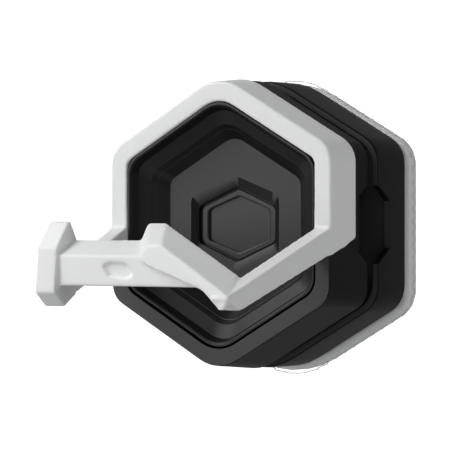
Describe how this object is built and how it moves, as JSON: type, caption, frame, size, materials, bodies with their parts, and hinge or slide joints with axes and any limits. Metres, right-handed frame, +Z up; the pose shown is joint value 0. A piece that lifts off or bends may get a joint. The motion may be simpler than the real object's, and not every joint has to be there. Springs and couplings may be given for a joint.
{
  "type": "headphone hook",
  "caption": "Hexagonal suction-mounted wall hook with a closed white loop frame, a notched cradle crossbar, a stepped dark bowl and a sunken press button.",
  "frame": {"origin": "centre of the suction pad's flat wall face", "axes": "+Y out of the back into the wall, +Z up, the front faces -Y"},
  "size_m": [0.0996, 0.1109, 0.1048],
  "materials": {
    "white_abs": "smooth white moulding",
    "black_abs": "satin black moulding",
    "bowl_black": "fine satin black",
    "moulded_grey": "plain grey moulding",
    "steel": "zinc plated",
    "pad_gel": "smooth tacky translucent white"
  },
  "bodies": {
    "wall_side": {"suction_pad": "pad_gel", "base_shell": "black_abs", "guide_sleeve": "moulded_grey", "sleeve_collar": "steel", "return_spring": "steel", "spring_washer": "steel", "pull_stud": "steel", "stud_bridge": "steel", "stud_nut": "steel", "pad_washer": "moulded_grey", "clamp_ring": "black_abs"},
    "front_side": {"front_body": "black_abs", "bowl_cover": "bowl_black", "hook_frame": "white_abs", "back_plate": "black_abs", "plate_screw_1": "steel", "plate_screw_2": "steel", "plate_screw_3": "steel", "plate_screw_4": "steel", "button_retainer": "moulded_grey", "button_spring": "steel"},
    "button": {"release_button": "bowl_black"}
  },
  "joints": [
    {"name": "body_press", "type": "slide", "parent": "wall_side", "child": "front_side", "axis": [0, 1, 0], "range_m": [0, 0.004], "stiffness_N_per_m": 600, "springref_m": -0.002},
    {"name": "button_press", "type": "slide", "parent": "front_side", "child": "button", "axis": [0, 1, 0], "range_m": [0, 0.002], "stiffness_N_per_m": 400, "springref_m": -0.001}
  ]
}
